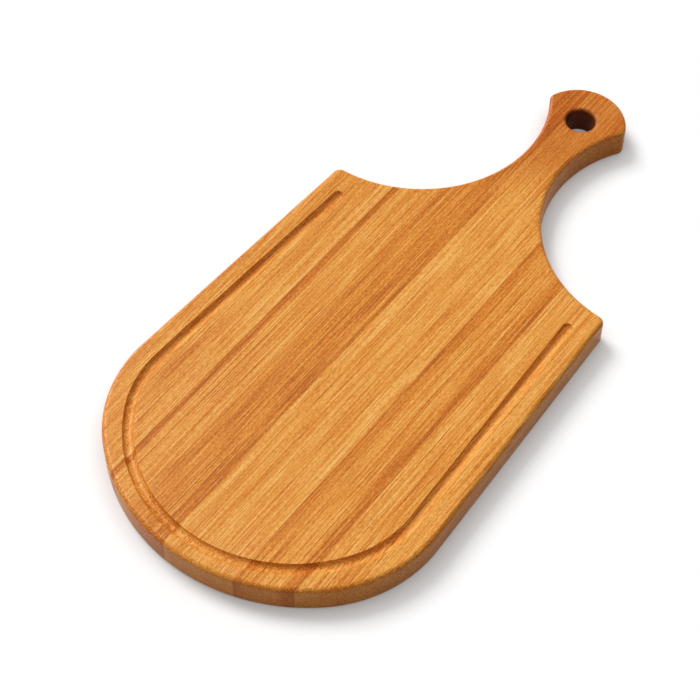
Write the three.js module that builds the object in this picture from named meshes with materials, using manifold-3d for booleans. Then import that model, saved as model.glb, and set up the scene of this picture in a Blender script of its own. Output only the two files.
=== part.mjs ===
// Paddle serving board: edge-glued wooden staves, with a juice groove round the front and a hanging hole.
// Millimetres, +Z up. +Y runs from the round front to the end of the handle, +X to the right.
// The origin is on the underside, in the middle of the board's length and width.
import * as THREE from "three";
import { mergeVertices } from "three/addons/utils/BufferGeometryUtils.js";
import Module from "manifold-3d";

// Blade
const BOARD_LENGTH = 420;
const BOARD_WIDTH = 210;
const BOARD_THICKNESS = 19;
const CORNER_RADIUS = 82;
const FRONT_RISE = 8.8;
const SIDE_TAPER_DEG = 2.35;
const TOP_EDGE_ROUND = 3;
const BOTTOM_EDGE_ROUND = 2;

// Shoulders and handle, with lengths counted from the handle's end
const SHOULDER_TO_END = 150;
const SHOULDER_CORNER_RADIUS = 5;
const NECK_WIDTH = 27.5;
const NECK_TO_END = 67;
const HEAD_WIDTH = 55.6;
const HEAD_CROWN = 20.8;
const HEAD_CORNER_RADIUS = 5;

// Hanging hole
const HOLE_DIAMETER = 18;
const HOLE_TO_END = 28;
const HOLE_RIM_ROUND = 2.2;

// Juice groove, cut with a round-nosed cutter
const GROOVE_INSET = 15.2;
const GROOVE_FRONT_INSET = 11;
const GROOVE_WIDTH = 6.5;
const GROOVE_DEPTH = 3;
const GROOVE_TO_SHOULDER = 16;

// Staves, from the middle outwards: the outer staves fill what the others leave
const NECK_STRIP = 3;
const LEFT_INNER_STAVE = 25.7;
const LEFT_MIDDLE_STAVE = 24.2;
const RIGHT_INNER_STAVE = 24.3;
const RIGHT_MIDDLE_STAVE = 30;
const EDGE_STAVE = 21;
const GLUE_LINE = 0.2;

// Facets of the round stretches
const FRONT_STEPS = 12;
const CORNER_STEPS = 14;
const FILLET_STEPS = 5;
const SHOULDER_STEPS = 14;
const FLARE_STEPS = 9;
const HEAD_STEPS = 10;
const EDGE_STEPS = 4;
const GROOVE_SIDES = 20;
const HOLE_SIDES = 40;

// Room by which a cutter or a slab runs past the board
const PAST = 5;

const LIGHT_WOOD = 0xe0a868;
const WARM_WOOD = 0xc98a4a;
const DARK_WOOD = 0xb87638;
const GLUE = 0x7d4c22;

const wasm = await Module();
wasm.setup();

const front = -BOARD_LENGTH / 2;
const end = BOARD_LENGTH / 2;
const taper = THREE.MathUtils.degToRad(SIDE_TAPER_DEG);
const sideOut = new THREE.Vector2(Math.cos(taper), Math.sin(taper));
const sideAlong = new THREE.Vector2(-Math.sin(taper), Math.cos(taper));
const shoulderY = end - SHOULDER_TO_END;
const neckY = end - NECK_TO_END;
const neckHalf = NECK_WIDTH / 2;
const holeY = end - HOLE_TO_END;

// Points of an arc, each with the direction that leads out of the board there.
// A hollow arc has its centre outside the board.
function arc(centre, radius, from, to, steps, hollow = false) {
  const points = [];
  for (let i = 0; i <= steps; i += 1) {
    const angle = THREE.MathUtils.lerp(from, to, i / steps);
    const ray = new THREE.Vector2(Math.cos(angle), Math.sin(angle));
    points.push({
      at: centre.clone().addScaledVector(ray, radius),
      out: hollow ? ray.clone().negate() : ray,
    });
  }
  return points;
}

// Angle of the line from one point to another.
function bearing(from, to) {
  return Math.atan2(to.y - from.y, to.x - from.x);
}

// Radius of an arc that leaves a straight axis square to it and reaches a point so far along and across.
function radiusThrough(along, across) {
  return (along * along + across * across) / (2 * across);
}

// Right half of a blunt arch: a shallow arc across the tip and a tighter one that turns into the side.
function archHalf(half, cornerRadius, rise, tipY) {
  const cornerCentre = new THREE.Vector2(half - cornerRadius, tipY + cornerRadius + rise);
  const tipRadius = radiusThrough(cornerCentre.x, rise) + cornerRadius;
  const tipCentre = new THREE.Vector2(0, tipY + tipRadius);
  const joint = bearing(tipCentre, cornerCentre);
  return [
    ...arc(tipCentre, tipRadius, -Math.PI / 2, joint, FRONT_STEPS),
    ...arc(cornerCentre, cornerRadius, joint, taper, CORNER_STEPS).slice(1),
  ];
}

// Where a line from a point first meets a circle.
function lineMeetsCircle(from, along, centre, radius) {
  const offset = from.clone().sub(centre);
  const half = offset.dot(along);
  const reach = -half - Math.sqrt(half * half - offset.lengthSq() + radius * radius);
  return from.clone().addScaledVector(along, reach);
}

// The crossing of two circles that lies to the left of the way from the first to the second.
function circlesMeet(first, firstRadius, second, secondRadius) {
  const way = second.clone().sub(first);
  const apart = way.length();
  const along = (apart * apart + firstRadius ** 2 - secondRadius ** 2) / (2 * apart);
  const across = Math.sqrt(firstRadius ** 2 - along * along);
  way.divideScalar(apart);
  const left = new THREE.Vector2(-way.y, way.x);
  return first.clone().addScaledVector(way, along).addScaledVector(left, across);
}

// Right half of the board's outline, from the middle of the front to the middle of the handle's end.
function outlineHalf() {
  const arch = archHalf(BOARD_WIDTH / 2, CORNER_RADIUS, FRONT_RISE, front);
  const sideStart = arch.at(-1).at;
  const sideLength = (shoulderY - sideStart.y) / sideAlong.y;
  const shoulder = sideStart.clone().addScaledVector(sideAlong, sideLength);

  const shoulderRadius = radiusThrough(neckY - shoulderY, shoulder.x - neckHalf);
  const shoulderCentre = new THREE.Vector2(neckHalf + shoulderRadius, neckY);
  const insideSide = sideStart.clone().addScaledVector(sideOut, -SHOULDER_CORNER_RADIUS);
  const cornerCentre = lineMeetsCircle(
    insideSide,
    sideAlong,
    shoulderCentre,
    shoulderRadius + SHOULDER_CORNER_RADIUS,
  );

  const headHalf = HEAD_WIDTH / 2;
  const flareRadius = radiusThrough(end - HEAD_CROWN - neckY, headHalf - neckHalf);
  const flareCentre = new THREE.Vector2(neckHalf + flareRadius, neckY);
  const endRadius = radiusThrough(headHalf, HEAD_CROWN);
  const endCentre = new THREE.Vector2(0, end - endRadius);
  const earCentre = circlesMeet(
    endCentre,
    endRadius - HEAD_CORNER_RADIUS,
    flareCentre,
    flareRadius + HEAD_CORNER_RADIUS,
  );

  const shoulderCorner = arc(
    cornerCentre,
    SHOULDER_CORNER_RADIUS,
    taper,
    bearing(cornerCentre, shoulderCentre),
    FILLET_STEPS,
  );
  const hollow = arc(
    shoulderCentre,
    shoulderRadius,
    bearing(shoulderCentre, cornerCentre),
    -Math.PI,
    SHOULDER_STEPS,
    true,
  );
  const flare = arc(
    flareCentre,
    flareRadius,
    Math.PI,
    bearing(flareCentre, earCentre),
    FLARE_STEPS,
    true,
  );
  const ear = arc(
    earCentre,
    HEAD_CORNER_RADIUS,
    bearing(earCentre, flareCentre),
    bearing(endCentre, earCentre),
    FILLET_STEPS,
  );
  const crown = arc(endCentre, endRadius, bearing(endCentre, earCentre), Math.PI / 2, HEAD_STEPS);
  return [
    ...arch,
    ...shoulderCorner,
    ...hollow.slice(1),
    ...flare.slice(1),
    ...ear.slice(1),
    ...crown.slice(1),
  ];
}

function mirrored({ at, out }) {
  return {
    at: new THREE.Vector2(-at.x, at.y),
    out: new THREE.Vector2(-out.x, out.y),
  };
}

function triangles(positions, index) {
  const geometry = new THREE.BufferGeometry();
  geometry.setAttribute("position", new THREE.Float32BufferAttribute(positions, 3));
  geometry.setIndex(index);
  return geometry;
}

function solid(geometry) {
  const bare = geometry.clone();
  bare.deleteAttribute("normal");
  bare.deleteAttribute("uv");
  const merged = mergeVertices(bare);
  return new wasm.Manifold(
    new wasm.Mesh({
      numProp: 3,
      vertProperties: merged.attributes.position.array,
      triVerts: new Uint32Array(merged.index.array),
    }),
  );
}

// The whole board before it is grooved, drilled and parted: rings of the outline, drawn in at the rounded edges.
function blank() {
  const right = outlineHalf();
  const left = right.slice(1, -1).reverse().map(mirrored);
  const outline = [...right, ...left];
  const levels = [];
  for (let i = 0; i <= EDGE_STEPS; i += 1) {
    const angle = (i / EDGE_STEPS) * (Math.PI / 2);
    levels.push({
      inset: BOTTOM_EDGE_ROUND * (1 - Math.sin(angle)),
      z: BOTTOM_EDGE_ROUND * (1 - Math.cos(angle)),
    });
  }
  for (let i = 0; i <= EDGE_STEPS; i += 1) {
    const angle = (i / EDGE_STEPS) * (Math.PI / 2);
    levels.push({
      inset: TOP_EDGE_ROUND * (1 - Math.cos(angle)),
      z: BOARD_THICKNESS - TOP_EDGE_ROUND * (1 - Math.sin(angle)),
    });
  }

  const rings = levels.map(({ inset }) =>
    outline.map(({ at, out }) => at.clone().addScaledVector(out, -inset)),
  );
  const positions = rings.flatMap((ring, i) => ring.flatMap((point) => [point.x, point.y, levels[i].z]));
  const count = outline.length;
  const index = [];
  for (let i = 0; i + 1 < rings.length; i += 1) {
    for (let j = 0; j < count; j += 1) {
      const low = i * count;
      const high = low + count;
      const next = (j + 1) % count;
      index.push(low + j, low + next, high + next);
      index.push(low + j, high + next, high + j);
    }
  }
  const top = (rings.length - 1) * count;
  for (const [a, b, c] of THREE.ShapeUtils.triangulateShape(rings.at(-1), [])) {
    index.push(top + a, top + b, top + c);
  }
  for (const [a, b, c] of THREE.ShapeUtils.triangulateShape(rings[0], [])) {
    index.push(a, c, b);
  }
  return solid(triangles(positions, index));
}

// The round-nosed cutter's path along the groove, with a ball at each end of it.
function grooveCutter() {
  const noseRadius = radiusThrough(GROOVE_WIDTH / 2, GROOVE_DEPTH);
  const centreZ = BOARD_THICKNESS - GROOVE_DEPTH + noseRadius;
  const right = archHalf(
    BOARD_WIDTH / 2 - GROOVE_INSET,
    CORNER_RADIUS - GROOVE_INSET,
    FRONT_RISE + GROOVE_INSET - GROOVE_FRONT_INSET,
    front + GROOVE_FRONT_INSET,
  );
  const lastTurn = right.at(-1).at;
  const stopY = shoulderY - GROOVE_TO_SHOULDER - GROOVE_WIDTH / 2;
  const stop = lastTurn.clone().addScaledVector(sideAlong, (stopY - lastTurn.y) / sideAlong.y);
  right.push({ at: stop, out: sideOut });
  const path = [...right.slice(1).reverse().map(mirrored), ...right];

  const positions = [];
  for (const { at, out } of path) {
    for (let k = 0; k < GROOVE_SIDES; k += 1) {
      const angle = ((k + 0.5) / GROOVE_SIDES) * 2 * Math.PI;
      const point = at.clone().addScaledVector(out, noseRadius * Math.cos(angle));
      positions.push(point.x, point.y, centreZ + noseRadius * Math.sin(angle));
    }
  }
  const index = [];
  for (let i = 0; i + 1 < path.length; i += 1) {
    for (let k = 0; k < GROOVE_SIDES; k += 1) {
      const here = i * GROOVE_SIDES;
      const ahead = here + GROOVE_SIDES;
      const next = (k + 1) % GROOVE_SIDES;
      index.push(here + k, ahead + next, here + next);
      index.push(here + k, ahead + k, ahead + next);
    }
  }
  const last = (path.length - 1) * GROOVE_SIDES;
  for (let k = 1; k + 1 < GROOVE_SIDES; k += 1) {
    index.push(0, k, k + 1);
    index.push(last, last + k + 1, last + k);
  }

  let cutter = solid(triangles(positions, index));
  for (const { at } of [path[0], path.at(-1)]) {
    const ball = new THREE.SphereGeometry(noseRadius, GROOVE_SIDES, GROOVE_SIDES / 2);
    ball.rotateX(Math.PI / 2);
    ball.translate(at.x, at.y, centreZ);
    cutter = cutter.add(solid(ball));
  }
  return cutter;
}

// A drill with the two rounded rims of the hanging hole.
function holeCutter() {
  const bore = HOLE_DIAMETER / 2;
  const wide = bore + HOLE_RIM_ROUND;
  const profile = [new THREE.Vector2(0, -PAST), new THREE.Vector2(wide, -PAST)];
  for (let i = 0; i <= EDGE_STEPS; i += 1) {
    const angle = (i / EDGE_STEPS) * (Math.PI / 2);
    const x = wide - HOLE_RIM_ROUND * Math.sin(angle);
    profile.push(new THREE.Vector2(x, HOLE_RIM_ROUND * (1 - Math.cos(angle))));
  }
  for (let i = 0; i <= EDGE_STEPS; i += 1) {
    const angle = (i / EDGE_STEPS) * (Math.PI / 2);
    const x = wide - HOLE_RIM_ROUND * Math.cos(angle);
    profile.push(new THREE.Vector2(x, BOARD_THICKNESS - HOLE_RIM_ROUND * (1 - Math.sin(angle))));
  }
  const above = BOARD_THICKNESS + PAST;
  profile.push(new THREE.Vector2(wide, above), new THREE.Vector2(0, above));
  const drill = new THREE.LatheGeometry(profile, HOLE_SIDES);
  drill.rotateX(Math.PI / 2);
  drill.translate(0, holeY, 0);
  return solid(drill);
}

// The part of the board between two planes across its width.
function slice(board, fromX, toX) {
  const slab = new THREE.BoxGeometry(1, BOARD_LENGTH + 2 * PAST, BOARD_THICKNESS + 2 * PAST);
  slab.translate(0, 0, BOARD_THICKNESS / 2);
  const corners = slab.attributes.position;
  for (let i = 0; i < corners.count; i += 1) {
    corners.setX(i, corners.getX(i) < 0 ? fromX : toX);
  }
  return board.intersect(solid(slab));
}

function piece(name, shape, color, roughness) {
  const { vertProperties, triVerts } = shape.getMesh();
  const geometry = triangles(Array.from(vertProperties), Array.from(triVerts));
  geometry.computeVertexNormals();
  const material = new THREE.MeshStandardMaterial({ color, roughness, metalness: 0, flatShading: true });
  const mesh = new THREE.Mesh(geometry, material);
  mesh.name = name;
  return mesh;
}

const centreHalf = neckHalf - NECK_STRIP;
const edgeSeam = BOARD_WIDTH / 2 - EDGE_STAVE;
const leftInnerSeam = -centreHalf - LEFT_INNER_STAVE;
const leftMiddleSeam = leftInnerSeam - LEFT_MIDDLE_STAVE;
const rightInnerSeam = centreHalf + RIGHT_INNER_STAVE;
const rightMiddleSeam = rightInnerSeam + RIGHT_MIDDLE_STAVE;
const past = BOARD_WIDTH / 2 + PAST;

// Staves from left to right, each up to the seam on its right, and the glue line that fills that seam.
const STAVES = [
  { name: "left_edge_stave", upTo: -edgeSeam, glue: "left_edge_glue_line", color: WARM_WOOD },
  { name: "left_outer_stave", upTo: leftMiddleSeam, glue: "left_outer_glue_line", color: LIGHT_WOOD },
  { name: "left_middle_stave", upTo: leftInnerSeam, glue: "left_middle_glue_line", color: WARM_WOOD },
  { name: "left_inner_stave", upTo: -centreHalf, glue: "left_inner_glue_line", color: DARK_WOOD },
  { name: "centre_stave", upTo: centreHalf, glue: "right_inner_glue_line", color: LIGHT_WOOD },
  { name: "right_inner_stave", upTo: rightInnerSeam, glue: "right_middle_glue_line", color: LIGHT_WOOD },
  { name: "right_middle_stave", upTo: rightMiddleSeam, glue: "right_outer_glue_line", color: DARK_WOOD },
  { name: "right_outer_stave", upTo: edgeSeam, glue: "right_edge_glue_line", color: LIGHT_WOOD },
  { name: "right_edge_stave", upTo: past, glue: null, color: LIGHT_WOOD },
];
const WOOD_ROUGHNESS = 0.5;
const GLUE_ROUGHNESS = 0.6;

const board = blank().subtract(grooveCutter()).subtract(holeCutter());
const root = new THREE.Group();
let from = -past;
for (const { name, upTo, glue, color } of STAVES) {
  const to = glue ? upTo - GLUE_LINE / 2 : upTo;
  root.add(piece(name, slice(board, from, to), color, WOOD_ROUGHNESS));
  if (glue) {
    from = upTo + GLUE_LINE / 2;
    root.add(piece(glue, slice(board, to, from), GLUE, GLUE_ROUGHNESS));
  }
}

export default root;
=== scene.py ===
import math

import bmesh
import bpy
from bpy.props import FloatProperty, FloatVectorProperty, PointerProperty
from mathutils import Color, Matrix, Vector


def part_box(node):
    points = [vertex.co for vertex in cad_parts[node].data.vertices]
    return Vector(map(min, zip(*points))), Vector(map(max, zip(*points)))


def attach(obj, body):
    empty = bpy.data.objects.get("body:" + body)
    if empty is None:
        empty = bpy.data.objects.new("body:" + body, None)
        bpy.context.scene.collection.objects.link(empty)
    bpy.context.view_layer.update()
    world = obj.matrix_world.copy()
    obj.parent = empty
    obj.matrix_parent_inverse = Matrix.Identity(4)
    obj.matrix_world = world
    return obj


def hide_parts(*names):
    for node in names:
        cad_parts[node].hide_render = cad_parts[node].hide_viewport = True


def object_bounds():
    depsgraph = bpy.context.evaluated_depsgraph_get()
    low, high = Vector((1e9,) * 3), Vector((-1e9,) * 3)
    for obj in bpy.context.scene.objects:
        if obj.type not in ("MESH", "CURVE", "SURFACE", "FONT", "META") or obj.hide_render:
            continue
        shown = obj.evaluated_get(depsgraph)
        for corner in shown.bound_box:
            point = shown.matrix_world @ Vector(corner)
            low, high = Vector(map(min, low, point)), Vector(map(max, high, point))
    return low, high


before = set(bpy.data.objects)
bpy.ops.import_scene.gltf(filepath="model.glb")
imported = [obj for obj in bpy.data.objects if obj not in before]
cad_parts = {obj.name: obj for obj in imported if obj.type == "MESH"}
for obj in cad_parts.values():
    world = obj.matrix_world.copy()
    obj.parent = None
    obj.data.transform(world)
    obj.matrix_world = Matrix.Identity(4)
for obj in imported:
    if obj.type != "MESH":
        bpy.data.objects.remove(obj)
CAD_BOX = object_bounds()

bl_info = {
    "name": "Paddle serving board",
    "version": (1, 0, 0),
    "blender": (4, 5, 0),
    "location": "3D View > Sidebar > Paddle board",
    "description": "Edge-glued staves shaped into a paddle board with a groove and a hanging hole",
    "category": "Object",
}

_, LENGTH, THICKNESS = CAD_BOX[1] - CAD_BOX[0]
MM = 0.001

# Staves from left to right, each with its slot in the record and its shades.
# Shades stand at places from 0, the left edge, to 1, the right edge. A shade of 0 is the light tone
# of the wood and 1 the dark one.
STAVES = {
    "left_edge_stave": ("warm_wood", {0.0: 0.85, 0.5: 0.35, 1.0: 0.4}),
    "left_outer_stave": ("light_wood", {0.0: 0.6, 0.5: 0.35, 1.0: 0.05}),
    "left_middle_stave": ("warm_wood", {0.0: 1.4, 0.1: 1.4, 0.2: 0.3, 1.0: 0.5}),
    "left_inner_stave": ("dark_wood", {0.0: 0.75, 0.5: 0.85, 1.0: 1.0}),
    "centre_stave": ("light_wood", {0.0: 1.2, 0.05: 1.2, 0.15: 0.0, 0.35: 0.4, 1.0: 0.2}),
    "right_inner_stave": ("light_wood", {0.0: 0.1, 0.5: 0.4, 1.0: 0.1}),
    "right_middle_stave": ("dark_wood", {0.0: 1.2, 0.2: 0.6, 0.7: 0.4, 0.9: 1.2}),
    "right_outer_stave": ("light_wood", {0.0: 0.2, 0.5: 0.3, 1.0: 0.45}),
    "right_edge_stave": ("light_wood", {0.0: 0.4, 0.5: 0.2, 1.0: 0.4}),
}
GLUE_LINES = [name for name in sorted(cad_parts) if name.endswith("glue_line")]

# Facets along the round stretches of the outline
FRONT_FACETS = 40
FRONT_CORNER_FACETS = 56
SHOULDER_CORNER_FACETS = 12
HOLLOW_FACETS = 56
FLARE_FACETS = 32
EAR_FACETS = 12
CROWN_FACETS = 32

# Facets of the rounded edges, the hole and the groove
EDGE_FACETS = 10
RIM_FACETS = 8
HOLE_FACETS = 72
NOSE_FACETS = 10
LIP_FACETS = 4
GROOVE_END_FACETS = 16

# Tolerances of the mesh
LEVEL_TOLERANCE = 0.01 * MM
CUT_TOLERANCE = 1e-8
SHARP_ANGLE = math.radians(40)

# Patterns in the wood and the glue: about how many fit in a metre across, along and through the board
DRIFT_PATTERN = (34, 4.5, 34)
LONG_FIBRES = (1800, 10, 1800)
SHORT_FIBRES = (2600, 26, 2600)
SPECKS = (1500, 500, 1500)
BANDS = (300, 3, 220)
PORES = (1150, 150, 1150)
PORE_CLUSTERS = (110, 12, 110)
GLUE_MOTTLE = (400, 60, 400)

# Values that such a pattern mostly takes
PATTERN_RANGE = (0.3, 0.7)

# How far the grain drifts, and how far each stave's patterns lie from those of the stave before it
DRIFT = 3 * MM
STAVE_SHIFT = (3.7, 1.9, 2.3)

# Growth rings: their width, how sharply each darkens, and where the pith lies beside and below a stave
RING_WIDTH = 1.6 * MM
RING_SHARPNESS = 2.5
PITH_ASIDE = 30 * MM
PITH_TURN = 2.4
PITH_BELOW = 45 * MM
PITH_STEP = 6 * MM
PITH_STEPS = 3

# What the patterns add to the shade of the wood
SHORT_FIBRE_SHADE = 0.75
SPECK_SHADE = 0.45
BAND_SHADE = 0.2
DARK_STROKES = (0.48, 0.64)
DARK_STROKE_SHADE = 0.65
PALE_STROKES = (0.36, 0.5)
PALE_STROKE_SHADE = -0.5
EARLY_WOOD_SHADE = -0.05
LATE_WOOD_SHADE = 0.12

# Shades at which the wood has its palest and its deepest tone
PALE_SHADE = -0.6
DEEP_SHADE = 1.8

# Pores: where one fades out round its middle, where they crowd, and how strong and deep they are
PORE_FADE = (0.12, 0.4)
PORE_CROWDING = (0.3, 0.65)
SPARSE_PORES = 0.1
PORE_STRENGTH = 0.36
PORE_DEPTH = 0.7

# Tint that darkens the wood towards the handle's end: how far from its end it begins and is full, and its
# share on the sides
HANDLE_TINT_LENGTH = 110 * MM
FULL_HANDLE_TINT_LENGTH = 55 * MM
HANDLE_TINT_SIDE = 0.4

# Surface of the oiled wood, with how far its roughness varies, and of the glue
SMOOTHER = -0.06
ROUGHER = 0.08
BUMP_STRENGTH = 0.25
BUMP_DEPTH = 0.2 * MM
OIL_IOR = 1.46
SATIN = 0.15
GLUE_ROUGHNESS = (0.45, 0.6)
THIN_GLUE = 0.55

# The floor lies a little below the board, so that the two never share a plane.
FLOOR_REACH = 20 * LENGTH
FLOOR_DROP = 0.1 * MM
FLOOR_GREY = (0.55, 0.55, 0.55, 1.0)

# The glow that lifts the floor to white is weaker close to the board than in the open, which paints a
# darker contact shadow round the board.
FLOOR_LIFT = (0.2, 0.47)
CONTACT_REACH = 12 * MM
CONTACT_OPENNESS = (0.4, 1.0)
CONTACT_SAMPLES = 4

# Shares of the sky's strength on its dim side and on its bright side
DIM_SKY = 0.45
BRIGHT_SKY = 1.55
WHITE = (1.0, 1.0, 1.0, 1.0)


def size(label, description, default):
    """A length that a user can change."""
    return FloatProperty(
        name=label, description=description, default=default, min=0.0, unit="LENGTH", precision=4
    )


def degrees(label, description, default):
    """An angle that a user can change."""
    return FloatProperty(
        name=label, description=description, default=math.radians(default), subtype="ANGLE"
    )


def strength(label, description, default):
    """A strength of light that a user can change."""
    return FloatProperty(name=label, description=description, default=default, min=0.0)


def tone(label, description, default):
    """A tone that a user can change."""
    return FloatVectorProperty(
        name=label, description=description, default=default, min=0.0, max=1.0, subtype="COLOR_GAMMA"
    )


class PaddleBoardSizes(bpy.types.PropertyGroup):
    """Sizes of the board. Lengths of the shoulders and the handle are counted from the handle's end."""

    width: size("Width", "Width of the board where it is widest", 0.210)
    corner_radius: size("Front corner", "Radius of the two front corners", 0.082)
    front_rise: size("Front rise", "How far the front bows out between its corners", 0.0088)
    side_taper: degrees("Side taper", "How far each long side leans in towards the handle", 2.35)
    top_edge: size("Top edge", "Radius of the rounded top edge", 0.003)
    bottom_edge: size("Bottom edge", "Radius of the rounded bottom edge", 0.002)
    shoulder_to_end: size("Shoulder to end", "From the shoulder corners to the handle's end", 0.150)
    shoulder_corner: size("Shoulder corner", "Radius of the shoulder corners", 0.005)
    neck_width: size("Neck width", "Width of the handle at its narrowest", 0.0275)
    neck_to_end: size("Neck to end", "From the narrowest place to the handle's end", 0.067)
    head_width: size("Head width", "Width of the handle's flared head", 0.0556)
    head_crown: size("Head crown", "How far the head bows out beyond its ears", 0.0208)
    head_corner: size("Head corner", "Radius of the head's two ears", 0.005)
    hole_diameter: size("Hole", "Diameter of the hanging hole", 0.018)
    hole_to_end: size("Hole to end", "From the hole's middle to the handle's end", 0.028)
    hole_rim: size("Hole rim", "Radius of the hole's rounded rims", 0.0022)
    groove_inset: size("Groove inset", "From the long sides to the middle of the groove", 0.0152)
    groove_front_inset: size("Groove front inset", "From the front to the middle of the groove", 0.011)
    groove_width: size("Groove width", "Width of the groove between its lips", 0.0065)
    groove_depth: size("Groove depth", "Depth of the groove", 0.0030)
    groove_lip: size("Groove lip", "Radius of the eased lips of the groove", 0.0003)
    groove_to_shoulder: size("Groove to shoulder", "From the groove's ends to the shoulders", 0.016)


class PaddleBoardFinish(bpy.types.PropertyGroup):
    """Tones of the oiled wood and of the glue, and tints that paint shade on the sides and in the hanging
    hole.
    """

    pale: tone("Pale streaks", "Tone of the palest streaks", (0.955, 0.735, 0.43))
    light: tone("Light wood", "Tone of the light wood", (0.905, 0.64, 0.285))
    dark: tone("Dark wood", "Tone of the dark wood", (0.825, 0.475, 0.15))
    deep: tone("Deep streaks", "Tone of the darkest streaks", (0.66, 0.35, 0.09))
    # A darker tint towards the handle's end.
    handle_end_tint: tone("Handled wood", "Tint that hands give the handle", (0.89, 0.77, 0.64))
    fleck: tone("Flecks", "Tone of the short pores", (0.60, 0.31, 0.08))
    # Painted shade: a darker, redder tint on the upright sides and rounded edges, for the warm shade on
    # the sides.
    side: tone("Sides", "Tint of the upright sides", (0.97, 0.9, 0.78))
    # Painted shade: a darkening tint on the wall and rims of the hanging hole, where shade falls.
    bore: tone("Bore", "Tint of the wall of the hanging hole", (0.62, 0.52, 0.44))
    glue: tone("Glue", "Tone of the cured glue in the seams", (0.74, 0.42, 0.13))
    roughness: FloatProperty(
        name="Roughness",
        description="Roughness of the oiled surface",
        default=0.33,
        min=0.0,
        max=1.0,
        subtype="FACTOR",
    )


class PaddleBoardStage(bpy.types.PropertyGroup):
    """The camera and the light. Azimuths are counted from the front."""

    azimuth: degrees("Azimuth", "Turn of the camera about the board", 37.335)
    elevation: degrees("Elevation", "Height of the camera as an angle over the floor", 53.667)
    distance: size("Distance", "From the camera to the point it looks at", 1.1088)
    target: FloatVectorProperty(
        name="Target",
        description="Point that the camera looks at",
        default=(-0.015114, -0.036787, 0.0),
        subtype="TRANSLATION",
        unit="LENGTH",
    )
    lens: FloatProperty(
        name="Lens", description="Focal length", default=97.714, min=1.0, unit="CAMERA"
    )
    sun_azimuth: degrees("Sun azimuth", "Side that the soft main light comes from", -100)
    sun_elevation: degrees("Sun elevation", "Height of the main light over the floor", 50)
    sun_strength: strength("Sun strength", "Strength of the main light", 2.7)
    sun_spread: degrees("Sun spread", "Angle that the main light covers, which softens the shadow", 26)
    rim_azimuth: degrees("Rim azimuth", "Side that the rim light comes from", -106)
    rim_elevation: degrees("Rim elevation", "Height of the rim light over the floor", 15)
    rim_strength: strength("Rim strength", "Strength of the rim light", 0.9)
    rim_spread: degrees("Rim spread", "Angle that the rim light covers", 26)
    sky: strength("Sky", "Strength of the soft light from all around", 0.35)
    sky_azimuth: degrees("Sky azimuth", "Side where the soft light is brightest", -115)


# Outline of the board


def arc(centre, radius, start, stop, facets, hollow=False):
    """Points of an arc, each with the direction that leads out of the board there.
    A hollow arc has its centre outside the board."""
    points = []
    for i in range(facets + 1):
        angle = start + (stop - start) * i / facets
        ray = Vector((math.cos(angle), math.sin(angle)))
        points.append((centre + ray * radius, -ray if hollow else ray))
    return points


def bearing(start, stop):
    """Angle of the line from one point to another."""
    return math.atan2(stop.y - start.y, stop.x - start.x)


def radius_through(along, across):
    """Radius of an arc that leaves an axis square to it and reaches a point so far along and across."""
    return (along**2 + across**2) / (2 * across)


def line_meets_circle(start, along, centre, radius):
    """Where a line from a point first meets a circle."""
    offset = start - centre
    half = offset.dot(along)
    return start + along * (-half - math.sqrt(half**2 - offset.length_squared + radius**2))


def circles_meet(first, first_radius, second, second_radius):
    """The crossing of two circles to the left of the way from the first to the second."""
    way = second - first
    apart = way.length
    along = (apart**2 + first_radius**2 - second_radius**2) / (2 * apart)
    across = math.sqrt(first_radius**2 - along**2)
    way.normalize()
    return first + way * along + Vector((-way.y, way.x)) * across


def arch_half(half, corner_radius, rise, tip_y, taper):
    """Right half of a blunt arch: a shallow arc across the tip, and a tighter one into the side."""
    corner = Vector((half - corner_radius, tip_y + corner_radius + rise))
    tip_radius = radius_through(corner.x, rise) + corner_radius
    tip = Vector((0, tip_y + tip_radius))
    joint = bearing(tip, corner)
    front = arc(tip, tip_radius, -math.pi / 2, joint, FRONT_FACETS)
    return front + arc(corner, corner_radius, joint, taper, FRONT_CORNER_FACETS)[1:]


def side_directions(sizes):
    """The direction out of the right side, and the direction along it towards the handle."""
    out = Vector((math.cos(sizes.side_taper), math.sin(sizes.side_taper)))
    return out, Vector((-out.y, out.x))


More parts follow.
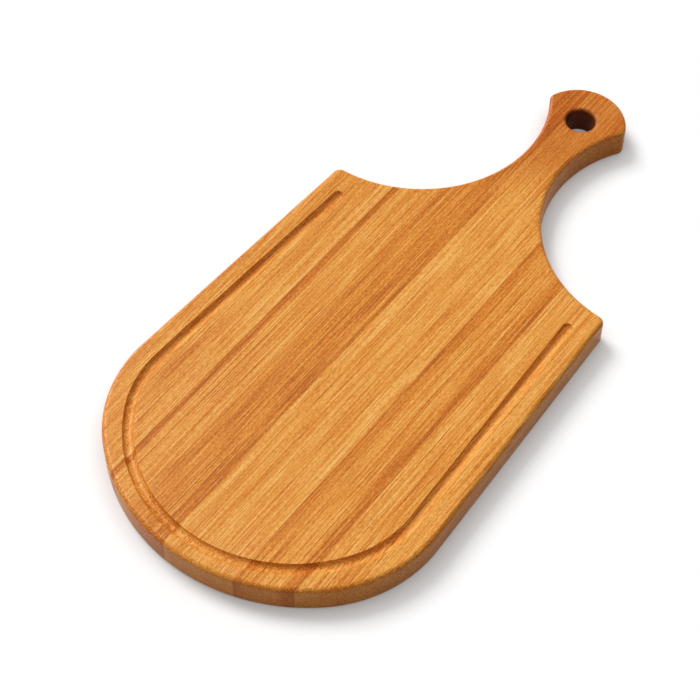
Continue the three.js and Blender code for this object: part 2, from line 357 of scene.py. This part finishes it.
def outline_half(sizes):
    """Right half of the outline, from the middle of the front to the middle of the handle's end."""
    end = LENGTH / 2
    neck_half = sizes.neck_width / 2
    neck_y = end - sizes.neck_to_end
    shoulder_y = end - sizes.shoulder_to_end
    side_out, side_along = side_directions(sizes)
    arch = arch_half(sizes.width / 2, sizes.corner_radius, sizes.front_rise, -end, sizes.side_taper)
    side_start = arch[-1][0]
    shoulder = side_start + side_along * ((shoulder_y - side_start.y) / side_along.y)

    hollow_radius = radius_through(neck_y - shoulder_y, shoulder.x - neck_half)
    hollow_centre = Vector((neck_half + hollow_radius, neck_y))
    inside_side = side_start - side_out * sizes.shoulder_corner
    corner = line_meets_circle(
        inside_side, side_along, hollow_centre, hollow_radius + sizes.shoulder_corner
    )

    head_half = sizes.head_width / 2
    flare_radius = radius_through(end - sizes.head_crown - neck_y, head_half - neck_half)
    flare_centre = Vector((neck_half + flare_radius, neck_y))
    crown_radius = radius_through(head_half, sizes.head_crown)
    crown_centre = Vector((0, end - crown_radius))
    ear = circles_meet(
        crown_centre, crown_radius - sizes.head_corner, flare_centre, flare_radius + sizes.head_corner
    )

    corner_stop = bearing(corner, hollow_centre)
    hollow_start = bearing(hollow_centre, corner)
    flare_stop = bearing(flare_centre, ear)
    ear_start = bearing(ear, flare_centre)
    crown_start = bearing(crown_centre, ear)
    return (
        arch
        + arc(corner, sizes.shoulder_corner, sizes.side_taper, corner_stop, SHOULDER_CORNER_FACETS)
        + arc(hollow_centre, hollow_radius, hollow_start, -math.pi, HOLLOW_FACETS, hollow=True)[1:]
        + arc(flare_centre, flare_radius, math.pi, flare_stop, FLARE_FACETS, hollow=True)[1:]
        + arc(ear, sizes.head_corner, ear_start, crown_start, EAR_FACETS)[1:]
        + arc(crown_centre, crown_radius, crown_start, math.pi / 2, CROWN_FACETS)[1:]
    )


def mirrored(points):
    """The same points and directions on the other side of the board's middle."""
    return [(Vector((-at.x, at.y)), Vector((-out.x, out.y))) for at, out in points]


def full_outline(sizes):
    """The outline all round, from the middle of the front by way of the right side."""
    right = outline_half(sizes)
    return right + mirrored(right[-2:0:-1])


def groove_path(sizes):
    """Middle line of the groove, from its left end round the front to its right end."""
    inset = sizes.groove_inset
    right = arch_half(
        sizes.width / 2 - inset,
        sizes.corner_radius - inset,
        sizes.front_rise + inset - sizes.groove_front_inset,
        -LENGTH / 2 + sizes.groove_front_inset,
        sizes.side_taper,
    )
    side_out, side_along = side_directions(sizes)
    last = right[-1][0]
    stop_y = LENGTH / 2 - sizes.shoulder_to_end - sizes.groove_to_shoulder - sizes.groove_width / 2
    right.append((last + side_along * ((stop_y - last.y) / side_along.y), side_out))
    return mirrored(right[:0:-1]) + right


# Mesh of the whole board


def quarter(facets):
    """Angles of a quarter turn."""
    return [math.pi / 2 * i / facets for i in range(facets + 1)]


def edge_levels(sizes):
    """Inset, height and amount of painted side shade of each ring of the outline, from the underside to
    the top.
    """
    low, high = sizes.bottom_edge, sizes.top_edge
    top = THICKNESS - high
    levels = []
    for turn in quarter(EDGE_FACETS):
        levels.append((low * (1 - math.sin(turn)), low * (1 - math.cos(turn)), math.sin(turn)))
    for turn in quarter(EDGE_FACETS):
        levels.append((high * (1 - math.cos(turn)), top + high * math.sin(turn), math.cos(turn)))
    return levels


def rim_levels(sizes):
    """Radius, height and amount of painted shade of each ring of the hanging hole, from the underside to
    the top.
    """
    rim = sizes.hole_rim
    wide = sizes.hole_diameter / 2 + rim
    top = THICKNESS - rim
    levels = []
    for turn in quarter(RIM_FACETS):
        levels.append((wide - rim * math.sin(turn), rim * (1 - math.cos(turn)), math.sin(turn)))
    for turn in quarter(RIM_FACETS):
        levels.append((wide - rim * math.cos(turn), top + rim * math.sin(turn), math.cos(turn)))
    return levels


def groove_profile(sizes):
    """Half of the groove's section from its bottom up: distance from the middle, and height."""
    nose = radius_through(sizes.groove_width / 2, sizes.groove_depth)
    nose_z = THICKNESS - sizes.groove_depth + nose
    lip = sizes.groove_lip
    lip_z = THICKNESS - lip
    lip_x = math.sqrt((nose + lip) ** 2 - (nose_z - lip_z) ** 2)
    turn = math.atan2(lip_x, nose_z - lip_z)
    profile = []
    for i in range(NOSE_FACETS + 1):
        angle = turn * i / NOSE_FACETS
        profile.append((nose * math.sin(angle), nose_z - nose * math.cos(angle)))
    for i in range(1, LIP_FACETS + 1):
        angle = turn * (1 - i / LIP_FACETS)
        profile.append((lip_x - lip * math.sin(angle), lip_z + lip * math.cos(angle)))
    return profile


def skin(board, rows, closed):
    """Faces between rows of points. A closed row joins up with itself."""
    for low, high in zip(rows, rows[1:]):
        count = len(low)
        for j in range(count if closed else count - 1):
            k = (j + 1) % count
            corners = []
            for vert in (low[j], low[k], high[k], high[j]):
                if vert not in corners:
                    corners.append(vert)
            board.faces.new(corners)


def board_edge(board, sizes, side):
    """The rounded edge all round the board, marked with how much painted side shade each ring takes."""
    outline = full_outline(sizes)
    rows = []
    for inset, z, amount in edge_levels(sizes):
        row = [board.verts.new((*(at - out * inset), z)) for at, out in outline]
        for vert in row:
            vert[side] = amount
        rows.append(row)
    skin(board, rows, closed=True)


def hanging_hole(board, sizes, bore):
    """The wall of the hanging hole with its two rounded rims, marked with how much painted shade each ring
    takes.
    """
    y = LENGTH / 2 - sizes.hole_to_end
    rows = []
    for radius, z, amount in rim_levels(sizes):
        row = []
        for i in range(HOLE_FACETS):
            angle = -2 * math.pi * (i + 0.5) / HOLE_FACETS
            vert = board.verts.new((radius * math.cos(angle), y + radius * math.sin(angle), z))
            vert[bore] = amount
            row.append(vert)
        rows.append(row)
    skin(board, rows, closed=True)


def turned(ray, angle):
    """A direction in the board's plane, turned by an angle."""
    along, aside = math.cos(angle), math.sin(angle)
    return Vector((ray.x * along - ray.y * aside, ray.x * aside + ray.y * along))


def juice_groove(board, sizes):
    """The round-nosed groove, with a round stop at each end."""
    half = groove_profile(sizes)
    path = groove_path(sizes)
    rows = []
    for at, out in path:
        left = [board.verts.new((*(at - out * x), z)) for x, z in half[:0:-1]]
        right = [board.verts.new((*(at + out * x), z)) for x, z in half]
        rows.append(left + right)
    skin(board, rows, closed=False)

    middle = len(half) - 1
    for row, (at, out), way in ((rows[0], path[0], -1), (rows[-1], path[-1], 1)):
        fan = [row[middle:]]
        for i in range(1, GROOVE_END_FACETS):
            ray = turned(out, math.pi * i / GROOVE_END_FACETS * way)
            spoke = [board.verts.new((*(at + ray * x), z)) for x, z in half[1:]]
            fan.append([row[middle]] + spoke)
        fan.append(row[middle::-1])
        skin(board, fan, closed=False)


def open_edges_at(board, z):
    """Edges at one height that have a face on one side only."""
    return [
        edge
        for edge in board.edges
        if len(edge.link_faces) == 1
        and all(abs(vert.co.z - z) < LEVEL_TOLERANCE for vert in edge.verts)
    ]


def whole_board(sizes):
    """The board before it is parted into staves."""
    board = bmesh.new()
    layers = board.verts.layers.float
    # Vertex layers that mark the sides and the hanging hole, where the wood is given painted shade.
    for name in ("side", "bore"):
        layers.new(name)
    board_edge(board, sizes, layers["side"])
    hanging_hole(board, sizes, layers["bore"])
    juice_groove(board, sizes)
    for z in (0.0, THICKNESS):
        rims = open_edges_at(board, z)
        bmesh.ops.triangle_fill(board, edges=rims, use_beauty=True, normal=(0, 0, 1))
    bmesh.ops.recalc_face_normals(board, faces=board.faces)
    loose = [edge for edge in board.edges if len(edge.link_faces) != 2]
    if loose:
        raise RuntimeError(f"the board's mesh is open at {len(loose)} edges")
    return board


def strip_of_board(board, low_x, high_x):
    """The strip of the board between two planes across its width, closed where it was cut."""
    strip = board.copy()
    for x, way in ((low_x, -1), (high_x, 1)):
        if math.isclose(abs(x), CAD_BOX[1].x):
            continue
        bmesh.ops.bisect_plane(
            strip,
            geom=strip.verts[:] + strip.edges[:] + strip.faces[:],
            dist=CUT_TOLERANCE,
            plane_co=(x, 0, 0),
            plane_no=(way, 0, 0),
            clear_outer=True,
        )
        rim = [edge for edge in strip.edges if edge.is_boundary]
        bmesh.ops.triangle_fill(strip, edges=rim, use_beauty=True, normal=(way, 0, 0))
    bmesh.ops.recalc_face_normals(strip, faces=strip.faces)
    return strip


def cut_piece(board, node, name, material):
    """Cut a finished piece out of the board, in place of a CAD node."""
    low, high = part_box(node)
    strip = strip_of_board(board, low.x, high.x)
    mesh = bpy.data.meshes.new(name)
    strip.to_mesh(mesh)
    strip.free()
    mesh.shade_smooth()
    mesh.set_sharp_from_angle(angle=SHARP_ANGLE)
    mesh.materials.append(material)
    piece = bpy.data.objects.new(name, mesh)
    bpy.context.scene.collection.objects.link(piece)
    evener = piece.modifiers.new("even shading", "WEIGHTED_NORMAL")
    evener.keep_sharp = True
    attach(piece, "root")
    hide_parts(node)


# Materials


def linear(colour):
    """A tone as the shader takes it."""
    return (*Color(colour).from_srgb_to_scene_linear(), 1.0)


class Shading:
    """Short words for adding nodes to a material."""

    def __init__(self, tree):
        self.tree = tree
        tree.nodes.clear()

    def add(self, kind, inputs=None, **settings):
        """A node with its settings, and with its inputs set or linked."""
        node = self.tree.nodes.new(kind)
        for name, value in settings.items():
            setattr(node, name, value)
        for key, value in (inputs or {}).items():
            if isinstance(value, bpy.types.NodeSocket):
                self.tree.links.new(value, node.inputs[key])
            else:
                node.inputs[key].default_value = value
        return node

    def maths(self, operation, first, second=0.0, clamp=False):
        """An operation on one or two values."""
        inputs = {0: first, 1: second}
        return self.add("ShaderNodeMath", inputs, operation=operation, use_clamp=clamp).outputs[0]

    def between(self, value, low, high, to_low=0.0, to_high=1.0, smooth=True):
        """A value held between two bounds and brought to two others."""
        kind = "SMOOTHSTEP" if smooth else "LINEAR"
        inputs = {0: value, 1: low, 2: high, 3: to_low, 4: to_high}
        return self.add("ShaderNodeMapRange", inputs, interpolation_type=kind).outputs[0]

    def mix(self, factor, first, second, kind="MIX"):
        """Two colours mixed. On this node, sockets 6 and 7 take colours, and output 2 gives one."""
        inputs = {0: factor, 6: first, 7: second}
        return self.add("ShaderNodeMix", inputs, data_type="RGBA", blend_type=kind).outputs[2]

    def stretched(self, vector, scale, shift):
        """Places scaled along each axis and shifted."""
        inputs = {"Vector": vector, "Location": shift, "Scale": scale}
        return self.add("ShaderNodeMapping", inputs).outputs[0]

    def noise(self, vector, scale, shift, detail=2.0, roughness=0.5):
        """A soft random pattern with its own scale along each axis."""
        place = self.stretched(vector, scale, shift)
        inputs = {"Vector": place, "Scale": 1.0, "Detail": detail, "Roughness": roughness}
        return self.add("ShaderNodeTexNoise", inputs).outputs[0]

    def ramp(self, value, colours):
        """Colours between places along a value."""
        ramp = self.add("ShaderNodeValToRGB", {0: value})
        stops = ramp.color_ramp.elements
        for _ in range(len(colours) - len(stops)):
            stops.new(0.5)
        for stop, (place, colour) in zip(stops, colours.items()):
            stop.position = place
            stop.color = colour
        return ramp.outputs[0]

    def seen(self, rays):
        """1 for what the camera sees, straight, mirrored or through glass, and 0 for other light."""
        seen = self.maths("MAXIMUM", rays["Is Camera Ray"], rays["Is Glossy Ray"])
        return self.maths("MAXIMUM", seen, rays["Is Transmission Ray"])


def new_material(name):
    """An empty material, and the words for its nodes."""
    material = bpy.data.materials.new(name)
    material.use_nodes = True
    return material, Shading(material.node_tree)


def wood_grain(shading, place, shift):
    """Where a point lies in the stave once the grain's gentle drift is taken off."""
    wander = shading.noise(place, DRIFT_PATTERN, shift)
    drift = shading.maths("MULTIPLY", shading.maths("SUBTRACT", wander, 0.5), DRIFT)
    bent = shading.add("ShaderNodeCombineXYZ", {0: drift, 2: drift}).outputs[0]
    return shading.add("ShaderNodeVectorMath", {0: place, 1: bent}, operation="ADD").outputs[0]


def short_pores(shading, grain, shift):
    """Pores along the grain, from 0 between them to 1 inside, closer together in places."""
    cells = shading.stretched(grain, PORES, shift)
    inputs = {"Vector": cells, "Scale": 1.0, "Randomness": 1.0}
    distance = shading.add("ShaderNodeTexVoronoi", inputs).outputs["Distance"]
    clusters = shading.noise(grain, PORE_CLUSTERS, shift)
    pores = shading.between(distance, *PORE_FADE, 1.0, 0.0)
    return shading.maths("MULTIPLY", pores, shading.between(clusters, *PORE_CROWDING, SPARSE_PORES, 1.0))


def growth_rings(shading, grain, seed):
    """Rings round a pith that lies below the stave, from 0 in the early wood to 1 in the late wood."""
    x, _, z = shading.add("ShaderNodeSeparateXYZ", {0: grain}).outputs
    across = shading.maths("ADD", x, PITH_ASIDE * math.cos(seed * PITH_TURN))
    depth = shading.maths("ADD", z, PITH_BELOW + PITH_STEP * (seed % PITH_STEPS))
    across_squared = shading.maths("POWER", across, 2.0)
    depth_squared = shading.maths("POWER", depth, 2.0)
    radius = shading.maths("SQRT", shading.maths("ADD", across_squared, depth_squared))
    turns = shading.maths("MULTIPLY", radius, 1 / RING_WIDTH)
    return shading.maths("POWER", shading.maths("FRACT", turns), RING_SHARPNESS)


def wood_tones(shading, shade, finish):
    """Tone of the wood at each shade."""
    tones = {PALE_SHADE: finish.pale, 0.0: finish.light, 1.0: finish.dark, DEEP_SHADE: finish.deep}
    span = DEEP_SHADE - PALE_SHADE
    colours = {(at - PALE_SHADE) / span: linear(colour) for at, colour in tones.items()}
    return shading.ramp(shading.between(shade, PALE_SHADE, DEEP_SHADE, smooth=False), colours)


def oiled_wood(name, seed, low_x, high_x, shades, finish):
    """Oiled wood with fine straight grain along the board, darker where the stave's shades say so, and
    painted shade on its sides and in the hole.
    """
    material, shading = new_material(name)
    place = shading.add("ShaderNodeTexCoord").outputs["Object"]
    x, y, _ = shading.add("ShaderNodeSeparateXYZ", {0: place}).outputs
    shift = tuple(seed * step for step in STAVE_SHIFT)
    grain = wood_grain(shading, place, shift)
    pores = short_pores(shading, grain, shift)
    rings = growth_rings(shading, grain, seed)
    long_fibres = shading.noise(grain, LONG_FIBRES, shift, detail=3.0, roughness=0.65)
    short_fibres = shading.noise(grain, SHORT_FIBRES, shift)
    specks = shading.noise(grain, SPECKS, shift, detail=1.0)
    bands = shading.noise(grain, BANDS, shift)

    greys = {at: (shade, shade, shade, 1.0) for at, shade in shades.items()}
    shade = shading.ramp(shading.between(x, low_x, high_x, smooth=False), greys)
    for added in (
        shading.between(short_fibres, *PATTERN_RANGE, -SHORT_FIBRE_SHADE, SHORT_FIBRE_SHADE, smooth=False),
        shading.between(specks, *PATTERN_RANGE, -SPECK_SHADE, SPECK_SHADE, smooth=False),
        shading.between(bands, *PATTERN_RANGE, -BAND_SHADE, BAND_SHADE, smooth=False),
        shading.between(long_fibres, *DARK_STROKES, 0.0, DARK_STROKE_SHADE),
        shading.between(long_fibres, *PALE_STROKES, PALE_STROKE_SHADE, 0.0),
        shading.between(rings, 0.0, 1.0, EARLY_WOOD_SHADE, LATE_WOOD_SHADE, smooth=False),
    ):
        shade = shading.maths("ADD", shade, added)
    wood = wood_tones(shading, shade, finish)
    wood = shading.mix(shading.maths("MULTIPLY", pores, PORE_STRENGTH), wood, linear(finish.fleck))

    # Masks of the upright sides and of the hanging hole, which take painted shade.
    side = shading.add("ShaderNodeAttribute", attribute_name="side").outputs["Fac"]
    bore = shading.add("ShaderNodeAttribute", attribute_name="bore").outputs["Fac"]
    end = LENGTH / 2
    reached = shading.between(y, end - HANDLE_TINT_LENGTH, end - FULL_HANDLE_TINT_LENGTH)
    handle_end_tint = shading.maths("MULTIPLY", reached, shading.between(side, 0.0, 1.0, 1.0, HANDLE_TINT_SIDE))
    # Tints multiplied in: darker towards the handle's end, painted warm shade on the sides, painted shade
    # in the hanging hole.
    for amount, tint in ((handle_end_tint, finish.handle_end_tint), (side, finish.side), (bore, finish.bore)):
        wood = shading.mix(amount, wood, linear(tint), "MULTIPLY")

    height = shading.maths("SUBTRACT", short_fibres, shading.maths("MULTIPLY", pores, PORE_DEPTH))
    bump = shading.add(
        "ShaderNodeBump", {"Strength": BUMP_STRENGTH, "Distance": BUMP_DEPTH, "Height": height}
    )
    smoothest = finish.roughness + SMOOTHER
    roughest = finish.roughness + ROUGHER
    surface = {
        "Base Color": wood,
        "Roughness": shading.between(long_fibres, *PATTERN_RANGE, smoothest, roughest, smooth=False),
        "Normal": bump.outputs[0],
        "IOR": OIL_IOR,
        "Specular IOR Level": SATIN,
    }
    shader = shading.add("ShaderNodeBsdfPrincipled", surface)
    shading.add("ShaderNodeOutputMaterial", {0: shader.outputs[0]})
    return material


def cured_glue(finish):
    """Thin lines of cured glue, mottled where they soaked into the wood."""
    material, shading = new_material("cured_glue")
    place = shading.add("ShaderNodeTexCoord").outputs["Object"]
    mottle = shading.noise(place, GLUE_MOTTLE, (0.0, 0.0, 0.0), detail=3.0)
    thin = Vector(finish.glue).lerp(Vector(finish.light), THIN_GLUE)
    surface = {
        "Base Color": shading.mix(
            shading.between(mottle, *PATTERN_RANGE), linear(finish.glue), linear(thin)
        ),
        "Roughness": shading.between(mottle, *PATTERN_RANGE, *GLUE_ROUGHNESS),
        "Specular IOR Level": SATIN,
    }
    shader = shading.add("ShaderNodeBsdfPrincipled", surface)
    shading.add("ShaderNodeOutputMaterial", {0: shader.outputs[0]})
    return material


def pale_floor():
    """A white floor that keeps the board's shadow, has a painted contact shadow round the board, and can't
    be seen from below.
    """
    material, shading = new_material("pale_floor")
    matt = shading.add("ShaderNodeBsdfDiffuse", {"Color": FLOOR_GREY})
    rays = shading.add("ShaderNodeLightPath").outputs
    # Painted contact shadow: the floor's glow is dimmed where the board is close.
    contact = shading.add(
        "ShaderNodeAmbientOcclusion", {"Distance": CONTACT_REACH}, samples=CONTACT_SAMPLES
    )
    level = shading.between(contact.outputs["AO"], *CONTACT_OPENNESS, *FLOOR_LIFT, smooth=False)
    level = shading.maths("MULTIPLY", shading.seen(rays), level)
    lift = shading.add("ShaderNodeEmission", {"Strength": level})
    both = shading.add("ShaderNodeAddShader", {0: matt.outputs[0], 1: lift.outputs[0]})
    from_below = shading.add("ShaderNodeNewGeometry").outputs["Backfacing"]
    from_below = shading.maths("MAXIMUM", from_below, rays["Transparent Depth"], clamp=True)
    clear = shading.add("ShaderNodeBsdfTransparent")
    floor = shading.add("ShaderNodeMixShader", {0: from_below, 1: both.outputs[0], 2: clear.outputs[0]})
    shading.add("ShaderNodeOutputMaterial", {0: floor.outputs[0]})
    return material


def studio_sky(world, level, bright_side):
    """Soft light on the board, brighter from one side, in front of a white background."""
    world.use_nodes = True
    shading = Shading(world.node_tree)
    towards = shading.add("ShaderNodeTexCoord").outputs["Generated"]
    facing = shading.add("ShaderNodeVectorMath", {0: towards, 1: bright_side}, operation="DOT_PRODUCT")
    slant = shading.between(
        facing.outputs["Value"], -1.0, 1.0, DIM_SKY * level, BRIGHT_SKY * level, smooth=False
    )
    seen = shading.seen(shading.add("ShaderNodeLightPath").outputs)
    light = shading.add("ShaderNodeBackground", {"Color": WHITE, "Strength": slant})
    white = shading.add("ShaderNodeBackground", {"Color": WHITE, "Strength": 1.0})
    both = shading.add("ShaderNodeMixShader", {0: seen, 1: light.outputs[0], 2: white.outputs[0]})
    shading.add("ShaderNodeOutputWorld", {0: both.outputs[0]})


# Stage


def direction(azimuth, elevation):
    """Direction towards a camera or a lamp that stands so far round from the front and so high."""
    level = math.cos(elevation)
    return Vector((math.sin(azimuth) * level, -math.cos(azimuth) * level, math.sin(elevation)))


def studio_camera(scene, stage):
    """The camera that looks at the board."""
    lens = bpy.data.cameras.new("camera")
    lens.lens = stage.lens
    camera = bpy.data.objects.new("camera", lens)
    back = direction(stage.azimuth, stage.elevation)
    camera.location = Vector(stage.target) + back * stage.distance
    camera.rotation_euler = (-back).to_track_quat("-Z", "Y").to_euler()
    scene.collection.objects.link(camera)
    scene.camera = camera


def distant_lamp(scene, name, towards, energy, spread):
    """A lamp far off in one direction that covers a round patch of the sky."""
    lamp = bpy.data.lights.new(name, "SUN")
    lamp.energy = energy
    lamp.angle = spread
    stand = bpy.data.objects.new(name, lamp)
    stand.rotation_euler = towards.to_track_quat("Z", "Y").to_euler()
    scene.collection.objects.link(stand)
    return stand


def studio_floor(scene):
    """The floor under the board."""
    mesh = bpy.data.meshes.new("floor")
    square = ((-1, -1), (1, -1), (1, 1), (-1, 1))
    corners = [(x * FLOOR_REACH, y * FLOOR_REACH, -FLOOR_DROP) for x, y in square]
    mesh.from_pydata(corners, [], [(0, 1, 2, 3)])
    mesh.materials.append(pale_floor())
    floor = bpy.data.objects.new("floor", mesh)
    scene.collection.objects.link(floor)


# Operators


class PADDLE_OT_staves(bpy.types.Operator):
    """Shape the nine staves and oil them"""

    bl_idname = "paddle_board.staves"
    bl_label = "Shape the staves"

    def execute(self, context):
        finish = context.scene.paddle_finish
        board = whole_board(context.scene.paddle_sizes)
        for seed, (node, (slot, shades)) in enumerate(STAVES.items(), start=1):
            low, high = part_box(node)
            wood = oiled_wood(f"{node}_wood", seed, low.x, high.x, shades, finish)
            cut_piece(board, node, f"{node}_oiled", wood)
        board.free()
        return {"FINISHED"}


class PADDLE_OT_glue_lines(bpy.types.Operator):
    """Fill the eight seams between the staves"""

    bl_idname = "paddle_board.glue_lines"
    bl_label = "Fill the seams"

    def execute(self, context):
        glue = cured_glue(context.scene.paddle_finish)
        board = whole_board(context.scene.paddle_sizes)
        for node in GLUE_LINES:
            cut_piece(board, node, f"{node}_cured", glue)
        board.free()
        return {"FINISHED"}


class PADDLE_OT_stage(bpy.types.Operator):
    """Set the camera, the light and the floor"""

    bl_idname = "paddle_board.stage"
    bl_label = "Set the stage"

    def execute(self, context):
        scene = context.scene
        stage = scene.paddle_stage
        scene.view_settings.view_transform = "Standard"
        studio_camera(scene, stage)
        towards = direction(stage.sun_azimuth, stage.sun_elevation)
        distant_lamp(scene, "soft_sun", towards, stage.sun_strength, stage.sun_spread)
        towards = direction(stage.rim_azimuth, stage.rim_elevation)
        rim = distant_lamp(scene, "rim_light", towards, stage.rim_strength, stage.rim_spread)
        rim.visible_diffuse = False
        scene.world = scene.world or bpy.data.worlds.new("studio")
        studio_sky(scene.world, stage.sky, direction(stage.sky_azimuth, 0.0))
        studio_floor(scene)
        return {"FINISHED"}


class PADDLE_PT_sidebar(bpy.types.Panel):
    """Sizes, tones and steps of the paddle board"""

    bl_label = "Paddle serving board"
    bl_idname = "PADDLE_PT_sidebar"
    bl_space_type = "VIEW_3D"
    bl_region_type = "UI"
    bl_category = "Paddle board"

    def draw(self, context):
        scene = context.scene
        for group in (scene.paddle_sizes, scene.paddle_finish, scene.paddle_stage):
            box = self.layout.box()
            for name in group.__annotations__:
                box.prop(group, name)
        for operator in OPERATORS:
            self.layout.operator(operator.bl_idname)


GROUPS = {
    "paddle_sizes": PaddleBoardSizes,
    "paddle_finish": PaddleBoardFinish,
    "paddle_stage": PaddleBoardStage,
}
OPERATORS = (PADDLE_OT_staves, PADDLE_OT_glue_lines, PADDLE_OT_stage)
CLASSES = (*GROUPS.values(), *OPERATORS, PADDLE_PT_sidebar)


def register():
    for cls in CLASSES:
        bpy.utils.register_class(cls)
    for name, group in GROUPS.items():
        setattr(bpy.types.Scene, name, PointerProperty(type=group))


def unregister():
    for name in GROUPS:
        delattr(bpy.types.Scene, name)
    for cls in reversed(CLASSES):
        bpy.utils.unregister_class(cls)


def main():
    register()
    bpy.ops.paddle_board.staves()
    bpy.ops.paddle_board.glue_lines()
    bpy.ops.paddle_board.stage()


if __name__ == "__main__":
    main()
